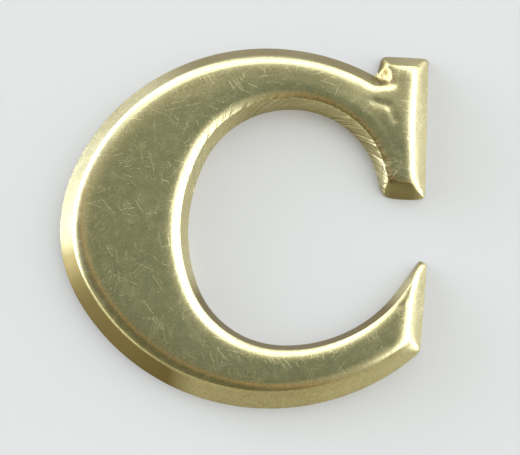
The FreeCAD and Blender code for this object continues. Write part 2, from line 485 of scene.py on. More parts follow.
# %% [markdown]
# ## The press form's section
#
# Seen in section the sheet rises from its rim on a straight flank to a ridge, and then rolls on
# at a flatter slope through a wide shoulder to the face. How high the sheet stands at a point
# depends on how far the point is from the rim, so the form is written as a height for each
# distance. Where two walls come near each other, as at a corner or along the serif, the lower
# height wins, with a soft change from one to the other: sheet brass doesn't take a sharp mitre.
# Near the rim the mitres are almost sharp, because the sheet was held flat there.

# %% Section of the form
SHEET = 0.8
ROOF = FACE - SHEET
RIDGE_SOFT, RIM_SOFT, MITRE_SOFT = 0.012, 0.02, 0.4
MITRE_FULL = 1.5  # height at which the mitres reach their full softness
FLAT_RISE = 0.15  # past the shoulder the slope goes on a little, and the flat face cuts it off
WALL_ANGLE = {OUTER: 49.0, COUNTER: 63.0}


def wall_form(side, ridge, shoulder, sheet=0.0):
    """One wall of the form. The hollow's wall starts the sheet's thickness further in."""
    start = sheet / math.sin(math.radians(WALL_ANGLE[side]))
    return {"angle": WALL_ANGLE[side], "ridge": ridge, "shoulder": shoulder, "start": start}


SKIN = {OUTER: wall_form(OUTER, 2.12, 2.4), COUNTER: wall_form(COUNTER, 2.08, 2.3)}
HOLLOW = {
    OUTER: wall_form(OUTER, 1.50, 1.5, SHEET),
    COUNTER: wall_form(COUNTER, 1.50, 1.2, SHEET),
}


def soft_lower(heights, softness):
    """The lowest of some heights, with a soft change from one to the next."""
    lowest = min(heights)
    total = sum(math.exp((lowest - height) / softness) for height in heights)
    return lowest - softness * math.log(total)


def section_height(side, depth, away):
    """Height of the form at one distance from the rim."""
    away -= side["start"]
    slope = math.tan(math.radians(side["angle"]))
    run, rise = side["shoulder"], depth - side["ridge"]
    radius = (run**2 + rise**2) / (2 * rise)
    left = side["ridge"] / slope + run - away
    steep = min(left, radius * math.sin(math.radians(side["angle"])))
    if left <= 0:
        roll = depth - FLAT_RISE * left
    else:
        roll = depth - radius + math.sqrt(radius**2 - steep**2) - (left - steep) * slope
    return soft_lower((away * slope, roll), RIDGE_SOFT)


profile = [round(section_height(SKIN[OUTER], FACE, away), 2) for away in (1, 2, 3)]
print("height 1, 2 and 3 mm in:", profile)


# %% Height of the form over any point
def share_along(spot, start, end):
    """How far along a straight stretch the nearest place to a point is, from 0 to 1."""
    along = end - start
    return min(max((spot - start).dot(along) / along.length_squared, 0.0), 1.0)


def distance_to(edge, spot):
    """How far a point is from one edge of the outline."""
    start, end = edge["start"], edge["end"]
    if "centre" not in edge:
        return (spot - start - (end - start) * share_along(spot, start, end)).length
    begin, turn = sweep_of(edge, start, end)
    out = spot - edge["centre"]
    angle = (math.atan2(out.y, out.x) - begin) * math.copysign(1.0, turn) % (2 * math.pi)
    if angle <= abs(turn):
        return abs(out.length - (start - edge["centre"]).length)
    return min((spot - start).length, (spot - end).length)


def form_height(form, depth, spot):
    """Height of the form over a point, from the nearest edge of each run between two corners."""
    heights = {}
    for edge, run in zip(EDGES + [TIP_CUT], RUN_OF + [len(CORNERS)]):
        height = section_height(form[edge["side"]], depth, distance_to(edge, spot))
        heights[run] = min(height, heights.get(run, height))
    softness = RIM_SOFT + MITRE_SOFT * min(min(heights.values()) / MITRE_FULL, 1.0)
    return min(soft_lower(list(heights.values()), softness), depth)


print("middle of the bowl:", round(form_height(SKIN, FACE, Vector((LEFT + 8, 0))), 2), "mm high")

# %% [markdown]
# ## Drawing the skin
#
# The outline is first drawn as a wire at the rim: a straight edge is a vertex that is extruded
# step by step, and a round edge is a spin about its centre. The ring is then extruded inwards,
# band by band, while it still lies flat, and the last ring is filled with one face. So the blank
# is drawn before it is pressed, as on the real letter.


# %% Draw the rim as a wire
def draw_edge(edge, steps):
    """Add one edge of the outline, on from the vertex that is selected."""
    if "centre" in edge:
        turn = sweep_of(edge, edge["start"], edge["end"])[1]
        centre = (edge["centre"] * MM).to_3d()
        bpy.ops.mesh.spin(
            steps=steps, angle=-turn, center=centre, axis=(0, 0, 1), use_auto_merge=False
        )
        return
    way = ((edge["end"] - edge["start"]) * MM).to_3d()
    for step in range(steps):
        bpy.ops.mesh.extrude_vertices_move(TRANSFORM_OT_translate={"value": way / steps})


letter = start_piece("brass_letter", (AT["flank"] * MM).to_3d())
for edge, steps in zip(EDGES, STEPS):
    draw_edge(edge, steps)
bpy.ops.mesh.select_all(action="SELECT")
bpy.ops.mesh.remove_doubles(threshold=0.05 * MM)
number_stations([point * MM for point in ring_points(0, 0, 0)])

# %% [markdown]
# Each ring's corners are rounded a little more than the last, because the sheet was stretched
# over the form's mitres, while the trimmed edge has almost sharp corners. The rings lie closest
# where the section bends most. The counter's wall is steeper than the outer one, so its rings are
# closer, and both walls have a ring on their ridge.

# %% Extrude the blank inwards, ring by ring
SKIN_INSETS = [0.0, 0.12, 0.35, 0.6, 0.85, 1.1, 1.32, 1.52, 1.66, 1.76, 1.82, 1.87, 1.93, 2.0]
SKIN_INSETS += [2.1, 2.22, 2.36, 2.5, 2.66, 2.82, 2.98, 3.15]
SKIN_RIDGE, SKIN_LAST = (1.85, 1.07), (3.15, 2.40)  # distance in on the outer and counter wall
TIP_REACH, TIP_SOFT = 16, 0.1


def counter_inset(outer, ridge, last):
    """How far a ring lies inside the counter's rim, where it lies so far inside the outer one."""
    if outer <= ridge[0]:
        return outer * ridge[1] / ridge[0]
    return ridge[1] + (outer - ridge[0]) * (last[1] - ridge[1]) / (last[0] - ridge[0])


def press_ring(outer, counter, extra):
    """The ring so far inside the rim, flat for now, with the tail's tip cut blunt."""
    points = ring_points(outer, counter, 0.0)
    for step in range(-TIP_REACH, TIP_REACH + 1):
        here = CORNERS["tip"] + step
        reach = (points[here].to_2d() - TIP_MIDDLE).dot(TIP_AXIS)
        short = soft_lower((reach, -outer), TIP_SOFT) - reach
        points[here] += (TIP_AXIS * short).to_3d()
    return [point * MM for point in soften(points, extra)]


bpy.ops.mesh.select_all(action="SELECT")
move_ring(press_ring(0.0, 0.0, 0))
for inset in SKIN_INSETS[1:]:
    counter = counter_inset(inset, SKIN_RIDGE, SKIN_LAST)
    extrude_to(press_ring(inset, counter, round(inset * 2)))
bpy.ops.mesh.edge_face_add()
print(len(SKIN_INSETS), "rings and", len(edit_mesh().faces), "faces on the flat blank")

# %% [markdown]
# The filled middle has to bend too, so it is cut into small cells, and into smaller ones at the
# notch, where the metal is knocked. Then every vertex rises to the form's height at its own
# place.

# %% Cut the middle of the blank into cells, and raise it over the form
CELL, KNOCKED_CELL = 0.55, 0.2
LARGE = 0.2  # area in square millimetres above which a face is one of the cells
KNOCKED = ((14.5, 11.0), (22.5, 22.2))  # two corners of the part around the notch


def keep_in_box(low, high):
    """Deselect the faces whose middle lies outside a box, seen from above."""
    mesh = edit_mesh()
    for face in mesh.faces:
        middle = face.calc_center_median()
        inside = all(low[way] * MM < middle[way] < high[way] * MM for way in (0, 1))
        if face.select and not inside:
            face.select_set(False)
    bmesh.update_edit_mesh(bpy.context.object.data)


def raise_over(form, depth, verts):
    """Lift vertices to the form's height at their places."""
    for vert in verts:
        vert.co.z = form_height(form, depth, vert.co.to_2d() / MM) * MM
    bmesh.update_edit_mesh(letter.data)


select_faces(is_cap)
cut_into_cells(CELL, (LEFT, BOTTOM), (RIGHT, TOP))
select_faces(lambda face: len(face.verts) > 4 or face.calc_area() > LARGE * MM**2)
keep_in_box(*KNOCKED)
cut_into_cells(KNOCKED_CELL, *KNOCKED)
raise_over(SKIN, FACE, [vert for vert in edit_mesh().verts if not vert.is_boundary])
highest = max(vert.co.z for vert in edit_mesh().verts) / MM
print(len(edit_mesh().faces), "faces on the skin, which is", round(highest, 2), "mm high")

# %% [markdown]
# ## Marks in the skin
#
# A letter like this has lived in a drawer. The crease where the upper stroke meets the serif was
# knocked, the tail and the counter's edge have a nick each, and the counter's upper wall carries
# the streaks of the draw. These are real dents in the metal, so they are made by moving vertices,
# each by a smooth amount along its own normal.

# %% Dents
DENTS = [
    {"from": (17.0, 17.4), "to": (18.8, 16.9), "width": 0.60, "depth": 0.09},
    {"from": (19.0, 16.9), "to": (19.8, 15.0), "width": 0.45, "depth": 0.07},
    {"from": (17.8, 21.7), "to": (19.2, 20.2), "width": 0.70, "depth": 0.22},
    {"from": (21.3, -10.9), "to": (21.9, -10.4), "width": 0.30, "depth": 0.06},
    {"from": (-7.9, -1.8), "to": (-7.6, -1.5), "width": 0.22, "depth": 0.07},
]


def smooth_step(value, low, high):
    """0 below low, 1 above high, and a smooth rise between them."""
    share = min(max((value - low) / (high - low), 0.0), 1.0)
    return share * share * (3 - 2 * share)


def dent_at(spot):
    """How deep the knocks have pushed the skin in at a point seen from above."""
    deep = 0.0
    for dent in DENTS:
        start, end = Vector(dent["from"]), Vector(dent["to"])
        nearest = (end - start) * share_along(spot, start, end)
        away = (spot - start - nearest).length / dent["width"]
        deep += dent["depth"] * math.exp(-away * away)
    return deep


print(len(DENTS), "dents, the deepest", max(dent["depth"] for dent in DENTS), "mm")

# %% Streaks of the draw
COUNTER_MIDDLE = Vector((6.0, 0.5))
COUNTER_RADIUS = 16.0
STREAK_DEPTH, STREAK_SLANT = 0.09, 0.9
SHOULDER_START = 2.4


def draw_weight(spot, level):
    """1 on the counter's upper wall, which slid furthest over the form, and 0 away from it."""
    out = spot - COUNTER_MIDDLE
    upper = smooth_step(out.y / out.length, -0.1, 0.45)
    upper *= 1 - smooth_step(out.length, 18.0, 20.0)
    return upper * smooth_step(2.5 - level, 0.0, 0.6)


def streak_at(spot, level):
    """Ridges and furrows left by the draw."""
    turn = math.atan2(spot.y - COUNTER_MIDDLE.y, spot.x - COUNTER_MIDDLE.x)
    along = turn * COUNTER_RADIUS + level * STREAK_SLANT
    rough = noise.noise(Vector((along * 1.1, level * 0.5, 3.0)))
    rough += 0.6 * noise.noise(Vector((along * 2.7, level * 1.1, 8.0)))
    return STREAK_DEPTH * draw_weight(spot, level) * rough


mesh = edit_mesh()
mesh.normal_update()
station = mesh.verts.layers.int[STATION]
moves = []
for vert in mesh.verts:
    spot, level = vert.co.to_2d() / MM, vert.co.z / MM
    push = -dent_at(spot) * smooth_step(level, 0.3, 1.2)
    if SIDES[vert[station]] == COUNTER and level < SHOULDER_START:
        push += streak_at(spot, level)
    moves.append(push)
outwards = math.copysign(1.0, sum(vert.normal.z for vert in mesh.verts))
for vert, push in zip(mesh.verts, moves):
    if vert.co.z > 0:
        vert.co += vert.normal * (outwards * push * MM)
bmesh.update_edit_mesh(letter.data)
print("deepest mark", round(min(moves), 3), "mm, highest", round(max(moves), 3), "mm")

# %% [markdown]
# ## The hollow
#
# The back of the sheet follows the same form, smaller by the sheet's thickness. It is drawn on
# from the rim's own edge, so that skin and hollow meet in a flat trimmed edge and close one solid
# shell. Sheet that is fed by hand isn't perfectly flat either, so a slow wave runs through both
# sides.

# %% Draw the hollow from the same rim
HOLLOW_INSETS = [0.0, 0.3, 0.6, 0.9, 1.15, 1.28, 1.36, 1.45, 1.6, 1.8, 2.05]
HOLLOW_RIDGE, HOLLOW_LAST = (1.30, 0.76), (2.05, 1.45)
HOLLOW_CELL = 1.0
WAVE_DEPTH, WAVE_SCALE = 0.035, 0.09


def wave_at(spot):
    """The slow unevenness of hand-fed sheet."""
    return WAVE_DEPTH * noise.noise(Vector((spot.x * WAVE_SCALE, spot.y * WAVE_SCALE, 1.5)))


select_open_edges()
skin_count = len(edit_mesh().verts)
for inset in HOLLOW_INSETS:
    outer = HOLLOW[OUTER]["start"] + inset
    counter = HOLLOW[COUNTER]["start"] + counter_inset(inset, HOLLOW_RIDGE, HOLLOW_LAST)
    extrude_to(press_ring(outer, counter, 2 + round(inset * 2)))
rim_count = skin_count + len(SIDES)
bpy.ops.mesh.edge_face_add()
select_faces(is_cap)
cut_into_cells(HOLLOW_CELL, (LEFT, BOTTOM), (RIGHT, TOP))
raise_over(HOLLOW, ROOF, [vert for vert in edit_mesh().verts if vert.index >= rim_count])
mesh = edit_mesh()
for vert in mesh.verts:
    level = vert.co.z / MM
    vert.co.z += wave_at(vert.co.to_2d() / MM) * smooth_step(level, 0.0, 2.0) * MM
bmesh.update_edit_mesh(letter.data)
print(len(mesh.verts) - skin_count, "vertices in the hollow")

# %% [markdown]
# The hollow, which nobody rubs clean, has gone dull with tarnish. The skin's low walls are drawn
# darker too, and that is painted shade: on the counter's upper and lower walls, on the outer flank
# at the top, at the lower left and at the bottom, and by the serif's foot. Both are painted on the
# vertices as one number each, which the material reads later. A second number marks where the draw
# left its streaks, so that the material can add the finest of them.


# %% Paint the hollow's tarnish, the painted shade of the skin's walls, and the streaks on the vertices
NEAR_FADE = 25
HOLLOW_TARNISH = 0.6
FOOT = Vector((20.8, 5.0))


def near(turn, middle, half):
    """1 within half an angle of a direction, in degrees, and fading to 0 beyond it."""
    apart = abs((turn - middle + 180) % 360 - 180)
    return 1 - smooth_step(apart, half, half + NEAR_FADE)


def turn_about(spot, middle):
    """Direction from the middle to a point seen from above, in degrees."""
    return math.degrees(math.atan2(spot.y - middle.y, spot.x - middle.x))


def painted_shade_at(side, spot, level):
    """Painted shade: how much darker the skin's low walls are drawn."""
    wall = 1 - smooth_step(level, 1.75, 2.2)
    if side == COUNTER:
        turn = turn_about(spot, COUNTER_MIDDLE)
        # painted shade on the counter's upper and lower walls
        return wall * (0.6 * near(turn, 50, 55) + 0.9 * near(turn, 272, 38))
    turn = turn_about(spot, Vector((0.0, 0.0)))
    # painted shade on the outer flank: by the serif's foot, at the top, at the lower left, and a
    # little at the bottom
    foot_shade = 0.42 * (1 - smooth_step((spot - FOOT).length, 1.8, 3.4))
    top_shade, low_left_shade = 0.5 * near(turn, 82, 24), 0.85 * near(turn, 221, 18)
    return wall * max(foot_shade, top_shade, low_left_shade, 0.15 * near(turn, 265, 15))


mesh = edit_mesh()
station = mesh.verts.layers.int[STATION]
# one number per vertex: tarnish in the hollow, painted shade on the skin's walls
tarnish_and_shade = mesh.verts.layers.float.new("tarnish_and_shade")
streaked = mesh.verts.layers.float.new("streaked")
for vert in mesh.verts:
    if vert.index >= skin_count:
        vert[tarnish_and_shade] = HOLLOW_TARNISH
    else:
        side, spot, level = SIDES[vert[station]], vert.co.to_2d() / MM, vert.co.z / MM
        vert[tarnish_and_shade] = painted_shade_at(side, spot, level)
        if side == COUNTER:
            vert[streaked] = draw_weight(spot, level)
bmesh.update_edit_mesh(letter.data)
print("tarnished_and_shaded vertices:", sum(vert[tarnish_and_shade] > 0.1 for vert in mesh.verts))

# %% Finish the letter and give it its place in the frame
finish_piece(letter)
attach(letter, "root")
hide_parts("letter_shell")
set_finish(letter, "pressed_brass")
print("the letter replaces letter_shell")

# %% [markdown]
# ## The bosses and their solder
#
# Each boss is a short brass post, turned and then tapped for a machine screw. It starts as a
# circle of points, is extruded up and round its own section, and its bore is then cut into a
# thread by moving each vertex out by the thread's own shape: a ridge that climbs one pitch in
# each turn.


# %% Revolve a section by extruding a circle of points
AROUND = 72


def circle_points(centre, radius, height, wander=None):
    """Points round a circle, each moved by wander(radius, height, angle) where it is given."""
    points = []
    for number in range(AROUND):
        angle = 2 * math.pi * number / AROUND
        reach, level = (radius, height) if wander is None else wander(radius, height, angle)
        across = Vector((math.cos(angle) * reach, math.sin(angle) * reach, level))
        points.append(centre + across * MM)
    return points


def revolved(name, centre, section, wander):
    """A ring-shaped piece. The section is a closed run of (radius, height) in millimetres."""
    radius, height = section[0]
    piece = start_piece(name, centre + Vector((radius, 0, height)) * MM)
    bpy.ops.mesh.spin(steps=AROUND, angle=-2 * math.pi, center=centre, axis=(0, 0, 1))
    bpy.ops.mesh.select_all(action="SELECT")
    bpy.ops.mesh.remove_doubles(threshold=0.01 * MM)
    number_stations(circle_points(centre, radius, height))
    bpy.ops.mesh.select_all(action="SELECT")
    move_ring(circle_points(centre, radius, height, wander))
    for radius, height in section[1:]:
        extrude_to(circle_points(centre, radius, height, wander))
    select_open_edges()
    bpy.ops.mesh.bridge_edge_loops()
    return piece


def round_node(node):
    """A round CAD node's centre at height zero, and its radius and top in millimetres."""
    low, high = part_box(node)
    centre = Vector(((low.x + high.x) / 2, (low.y + high.y) / 2, 0.0))
    return centre, (high.x - low.x) / 2 / MM, high.z / MM


PLACES = ("bowl", "upper", "lower")
print("boss radius", round(round_node("bowl_boss")[1], 2), "mm")

# %% Make the three bosses
PITCH, BORE, THREAD_DEPTH = 0.5, 1.25, 0.25
BORE_WALL = 1.6  # what lies further out isn't threaded
RISE = 0.05  # height of one ring in the bore, a tenth of the pitch


def threaded(radius, height, angle):
    """The bore's vertices move out into the furrow of a thread."""
    if radius > BORE_WALL:
        return radius, height
    phase = (height / PITCH - angle / (2 * math.pi)) % 1.0
    furrow = smooth_step(1 - abs(2 * phase - 1), 0.15, 0.95)
    return max(radius, BORE + THREAD_DEPTH * furrow), height


for name in PLACES:
    centre, wall, top = round_node(name + "_boss")
    bore_rings = range(1, round((top - 0.3) / RISE))
    section = [(wall - 0.2, 0.0), (wall - 0.06, 0.05), (wall, 0.2), (wall, 1.0), (wall, top)]
    section += [(wall - 0.6, top), (BORE, top)]
    section += [(BORE, top - RISE * step) for step in bore_rings]
    section += [(BORE + 0.12, 0.2), (BORE + 0.3, 0.04), (BORE + 0.38, 0.0)]
    boss = revolved(name + "_turned_boss", centre, section, threaded)
    finish_piece(boss)
    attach(boss, "root")
    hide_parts(name + "_boss")
    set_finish(boss, "turned_brass")

# %% [markdown]
# The solder is a soft metal that ran into the corner between post and sheet. Its surface is
# hollow, a quarter of a circle, because molten solder climbs both walls, and its toe wanders a
# little.

# %% Make the three rings of solder
TOE_WANDER, DROP_WANDER = 0.35, 0.3
BENDS = [math.pi / 2 * step / 8 for step in range(9)]

for number, name in enumerate(PLACES):
    centre, reach, top = round_node(name + "_solder")
    wall = round_node(name + "_boss")[1]
    leg = reach - wall

    def runny(radius, height, angle, seed=number):
        """The toe spreads by a different amount on each side."""
        place = Vector((math.cos(angle) * 1.3, math.sin(angle) * 1.3, seed * 7.0))
        lobe = noise.noise(place)
        spread = (radius - wall) * (1 + TOE_WANDER * lobe)
        drop = (top - height) * (1 + DROP_WANDER * lobe)
        return wall + spread, top - drop

    section = [(wall, top - leg)]
    for bend in BENDS[1:]:
        section.append((wall + leg * (1 - math.cos(bend)), top - leg * (1 - math.sin(bend))))
    section += [(wall + leg * 0.5, top), (wall, top)]
    ring = revolved(name + "_solder_ring", centre, section, runny)
    finish_piece(ring, 60)
    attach(ring, "root")
    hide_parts(name + "_solder")
    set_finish(ring, "soft_solder")

# %% [markdown]
# ## Finishes
#
# Brass is a metal, so its colour is the colour of its reflections. What makes it look handled is
# how that changes over the surface: a fine grain from rolling and pressing, hairline scratches in
# every direction, streaks where the sheet slid over the form, and tarnish in the hollow, where
# fingers don't reach. The low walls of the skin are also drawn darker, and that is painted shade.
# Each effect is a node group with its own inputs. These helpers add a node and set or link its
# inputs.


# %% Helpers for nodes
def node_group(name, inputs, outputs):
    """A new shader group with number, colour or vector sockets, and its two ends."""
    group = bpy.data.node_groups.new(name, "ShaderNodeTree")
    for label, kind, value in inputs:
        kind = "NodeSocket" + kind
        socket = group.interface.new_socket(label, in_out="INPUT", socket_type=kind)
        if value is not None:
            socket.default_value = value
    for label in outputs:
        group.interface.new_socket(label, in_out="OUTPUT", socket_type="NodeSocketFloat")
    return group, group.nodes.new("NodeGroupInput"), group.nodes.new("NodeGroupOutput")


def fill_socket(tree, socket, value):
    """Link a socket to another node's output, or set it to a value."""
    if isinstance(value, bpy.types.NodeSocket):
        tree.links.new(value, socket)
    else:
        socket.default_value = value


def add_node(tree, kind, settings=None, **sockets):
    """A node with its settings. A socket is named, or i0, i1 and so on where names repeat."""
    node = tree.nodes.new("ShaderNode" + kind)
    for key, value in (settings or {}).items():
        setattr(node, key, value)
    for key, value in sockets.items():
        numbered = key[0] == "i" and key[1:].isdigit()
        socket = node.inputs[int(key[1:]) if numbered else key.replace("_", " ")]
        fill_socket(tree, socket, value)
    return node


def place_group(tree, group, **values):
    """A node that holds a group, with its inputs filled."""
    node = tree.nodes.new("ShaderNodeGroup")
    node.node_tree = group
    for key, value in values.items():
        fill_socket(tree, node.inputs[key], value)
    return node


print("sockets take a value or a link")


# %% Helpers for sums and for mixing colours
def math_node(tree, operation, first, second=0.0, third=0.0, clamp=False):
    """The result of one sum."""
    settings = {"operation": operation, "use_clamp": clamp}
    return add_node(tree, "Math", settings, i0=first, i1=second, i2=third).outputs[0]


def times(tree, first, second, clamp=False):
    """One number times another."""
    return math_node(tree, "MULTIPLY", first, second, clamp=clamp)


def minus(tree, first, second):
    """One number less another."""
    return math_node(tree, "SUBTRACT", first, second)


def hill(tree, off, width):
    """1 where a distance is zero, down to 0 where it reaches the width."""
    share = math_node(tree, "DIVIDE", off, width)
    return math_node(tree, "SUBTRACT", 1.0, share, clamp=True)


def mix_colour(tree, share, first, second):
    """A colour between two others."""
    node = tree.nodes.new("ShaderNodeMix")
    node.data_type = "RGBA"
    for index, value in ((0, share), (6, first), (7, second)):
        fill_socket(tree, node.inputs[index], value)
    return node.outputs[2]


print("sums and mixes are ready")

# %% [markdown]
# The grain group gives a fine speckle, the size of the sheet's crystals, and a slower mottle. Its
# height output goes to a Bump node, because the grain is far finer than the mesh.

# %% Group: grain
grain, start, end = node_group(
    "metal_grain",
    [("Vector", "Vector", None), ("Fine", "Float", 5200.0), ("Coarse", "Float", 700.0)],
    ["Speckle", "Mottle", "Height"],
)
vector, fine_scale, coarse_scale = start.outputs[:3]
fine = add_node(
    grain, "TexNoise", Vector=vector, Scale=fine_scale, Detail=2.0, Roughness=0.6
).outputs[0]
coarse = add_node(
    grain, "TexNoise", Vector=vector, Scale=coarse_scale, Detail=3.0, Roughness=0.55
).outputs[0]
grain.links.new(fine, end.inputs[0])
grain.links.new(coarse, end.inputs[1])
grain.links.new(math_node(grain, "MULTIPLY_ADD", coarse, 0.6, fine), end.inputs[2])
print("group", grain.name)

# %% [markdown]
# The streaks of the draw slant across the counter's wall. The group turns a place on the wall
# into a distance along it and a height, and reads noise that is fine along the wall and drawn out
# upwards.

# %% Group: streaks of the draw
streaks, start, end = node_group(
    "draw_streaks",
    [("Vector", "Vector", None), ("Middle", "Vector", None),
     ("Slant", "Float", 1.6), ("Scale", "Float", 1500.0)],
    ["Height"],
)
vector, middle, slant, scale = start.outputs[:4]
offset = add_node(streaks, "VectorMath", {"operation": "SUBTRACT"}, i0=vector, i1=middle)
right, up, level = add_node(streaks, "SeparateXYZ", Vector=offset.outputs[0]).outputs
around = times(streaks, math_node(streaks, "ARCTAN2", up, right), COUNTER_RADIUS * MM)
slanted = math_node(streaks, "MULTIPLY_ADD", level, slant, around)
place = add_node(streaks, "CombineXYZ", X=slanted, Y=times(streaks, level, 0.12))
ridged = add_node(streaks, "TexNoise", Vector=place.outputs[0], Scale=scale, Detail=2.0)
streaks.links.new(ridged.outputs[0], end.inputs[0])
print("group", streaks.name)

# %% [markdown]
# A hairline scratch is long and very thin, so each family of scratches is noise that is stretched
# along one direction and cut down to its narrow middle band. A second noise breaks the lines up.
# Six families at different angles are laid over each other in the next group.

# %% Group: scratches of one direction
family, start, end = node_group(
    "scratch_family",
    [("Vector", "Vector", None), ("Angle", "Float", 0.0), ("Along", "Float", 60.0),
     ("Across", "Float", 1800.0), ("Width", "Float", 0.02), ("Amount", "Float", 0.5)],
    ["Mask"],
)
vector, angle, along, across, width, amount = start.outputs[:6]
turned = add_node(
    family, "VectorRotate", {"rotation_type": "Z_AXIS"}, Vector=vector, Angle=angle
).outputs[0]
stretch = add_node(family, "CombineXYZ", X=along, Y=across, Z=along).outputs[0]
spread = add_node(family, "VectorMath", {"operation": "MULTIPLY"}, i0=turned, i1=stretch)
lines = add_node(family, "TexNoise", Vector=spread.outputs[0], Scale=1.0, Detail=0.0)
off = math_node(family, "ABSOLUTE", minus(family, lines.outputs[0], 0.5))
breaks = add_node(family, "TexNoise", Vector=turned, Scale=330.0, Detail=1.0).outputs[0]
kept = math_node(family, "GREATER_THAN", breaks, minus(family, 1.0, amount))
family.links.new(times(family, hill(family, off, width), kept), end.inputs[0])
print("group", family.name)

# %% Group: scratches of all directions
DIRECTIONS = [  # angle in radians, and how much finer than the others
    (0.3, 1.0), (0.9, 1.3), (1.35, 0.9), (1.8, 0.8), (2.3, 1.2), (2.85, 1.1),
]
scratches, start, end = node_group(
    "hairline_scratches",
    [("Vector", "Vector", None), ("Across", "Float", 900.0),
     ("Width", "Float", 0.012), ("Amount", "Float", 0.38)],
    ["Mask"],
)
vector, across, width, amount = start.outputs[:4]
total = 0.0
for turn, finer in DIRECTIONS:
    one = place_group(
        scratches, family, Vector=vector, Angle=turn, Width=width, Amount=amount,
        Across=times(scratches, across, finer),
    )
    total = math_node(scratches, "MAXIMUM", total, one.outputs[0])
scratches.links.new(total, end.inputs[0])
print("group", scratches.name, "with", len(DIRECTIONS), "directions")

# %% [markdown]
# Some scratches are longer and stand alone, where something hard has caught the face. This group
# draws one: it turns the place about the scratch's middle, bends it, and keeps a thin line that
# fades at both ends.

# %% Group: one longer scratch at a place of its own
single, start, end = node_group(
    "single_scratch",
    [("Vector", "Vector", None), ("Middle", "Vector", None), ("Angle", "Float", 0.0),
     ("Length", "Float", 0.002), ("Width", "Float", 0.00004), ("Bow", "Float", 0.0)],
    ["Mask"],
)
vector, middle, angle, length, width, bow = start.outputs[:6]
offset = add_node(single, "VectorMath", {"operation": "SUBTRACT"}, i0=vector, i1=middle)
turned = add_node(
    single, "VectorRotate", {"rotation_type": "Z_AXIS"}, Vector=offset.outputs[0], Angle=angle
)
along, across = add_node(single, "SeparateXYZ", Vector=turned.outputs[0]).outputs[:2]
bent = math_node(single, "ADD", across, times(single, math_node(single, "POWER", along, 2.0), bow))
thin = hill(single, math_node(single, "ABSOLUTE", bent), width)
gone = math_node(single, "DIVIDE", math_node(single, "ABSOLUTE", along), length)
ends = times(single, minus(single, 1.0, gone), 3.0, clamp=True)
single.links.new(times(single, thin, ends), end.inputs[0])
SCRATCHES = [
    # from, to and bow
    ((-18.1, 5.5), (-15.7, 4.4), 0.0),
    ((-15.5, 4.5), (-13.9, 3.3), 30.0),
    ((-18.5, 1.5), (-16.5, 2.9), 20.0),
    ((-19.7, -3.5), (-18.5, -5.0), 60.0),
    ((-12.6, 13.6), (-12.3, 9.4), 10.0),
    ((-9.7, -13.0), (-10.6, -16.0), 0.0),
    ((-8.0, -13.0), (-8.7, -14.6), 0.0),
    ((6.3, -19.2), (6.1, -20.6), 250.0),
    ((13.6, 16.7), (14.9, 18.1), 40.0),
]
print("group", single.name, "for", len(SCRATCHES), "scratches")

# %% [markdown]
# ## The brass finishes
#
# The pressed skin is satin brass, a greenish gold that is duller in patches. The hollow is the
# same sheet and darker all over, which its tarnish, painted on the vertices, says already. The
# material starts with its colour: brass, patches, dust in the grain, tarnish in the hollow,
# painted shade on the low walls, and bright scratches on the face.


# %% Start a material
def new_material(name):
    """A material with its node tree and its shader."""
    material = bpy.data.materials.new(name)
    material.use_nodes = True
    tree = material.node_tree
    return material, tree, tree.nodes["Principled BSDF"]


def finish_metal(tree, shader, colour, rough, relief, strength, height):
    """Join a metal's colour, roughness and relief to its shader."""
    shader.inputs["Metallic"].default_value = 1.0
    tree.links.new(colour, shader.inputs["Base Color"])
    tree.links.new(rough, shader.inputs["Roughness"])
    bump = add_node(tree, "Bump", Strength=strength, Distance=height, Height=relief)
    tree.links.new(bump.outputs[0], shader.inputs["Normal"])


BRASS = (0.80, 0.72, 0.41, 1)
DULL_BRASS = (0.70, 0.62, 0.33, 1)
DUST = (0.45, 0.40, 0.22, 1)
# dark brown of the hollow's tarnish and of the painted shade on the skin's walls
TARNISH_AND_SHADE_BROWN = (0.22, 0.165, 0.06, 1)
SCRATCHED = (0.95, 0.88, 0.60, 1)
pressed, tree, shader = new_material("satin_pressed_brass")
print("material", pressed.name)

# %% Pressed brass: patches and dust
places = tree.nodes.new("ShaderNodeTexCoord")
where = places.outputs["Object"]
speckle = place_group(tree, grain, Vector=where, Fine=3800.0)
patches = add_node(tree, "TexNoise", Vector=where, Scale=120.0, Detail=3.0).outputs[0]
patches = math_node(tree, "MULTIPLY_ADD", patches, 1.6, -0.45, clamp=True)
colour = mix_colour(tree, patches, BRASS, DULL_BRASS)
dust = math_node(tree, "MULTIPLY_ADD", speckle.outputs["Speckle"], 2.6, -0.8, clamp=True)
colour = mix_colour(tree, times(tree, dust, 0.65), colour, DUST)
print("patches and dust on", pressed.name)

# %% Pressed brass: tarnish in the hollow, painted shade on the walls, and streaks, where the vertices say so
tarnish_and_shade_mask = add_node(tree, "Attribute", {"attribute_name": "tarnish_and_shade"}).outputs["Fac"]
drawn = add_node(tree, "Attribute", {"attribute_name": "streaked"}).outputs["Fac"]
middle = (COUNTER_MIDDLE * MM).to_3d()
furrows = place_group(tree, streaks, Vector=where, Middle=middle).outputs[0]
furrows = times(tree, furrows, drawn)
uneven = math_node(tree, "MULTIPLY_ADD", furrows, -1.8, 1.5)
uneven = math_node(tree, "MULTIPLY_ADD", patches, 0.3, uneven)
# dark brown mixed in: tarnish in the hollow, painted shade on the skin's low walls
colour = mix_colour(tree, times(tree, tarnish_and_shade_mask, uneven, clamp=True), colour, TARNISH_AND_SHADE_BROWN)
print("tarnish and streaks on", pressed.name)

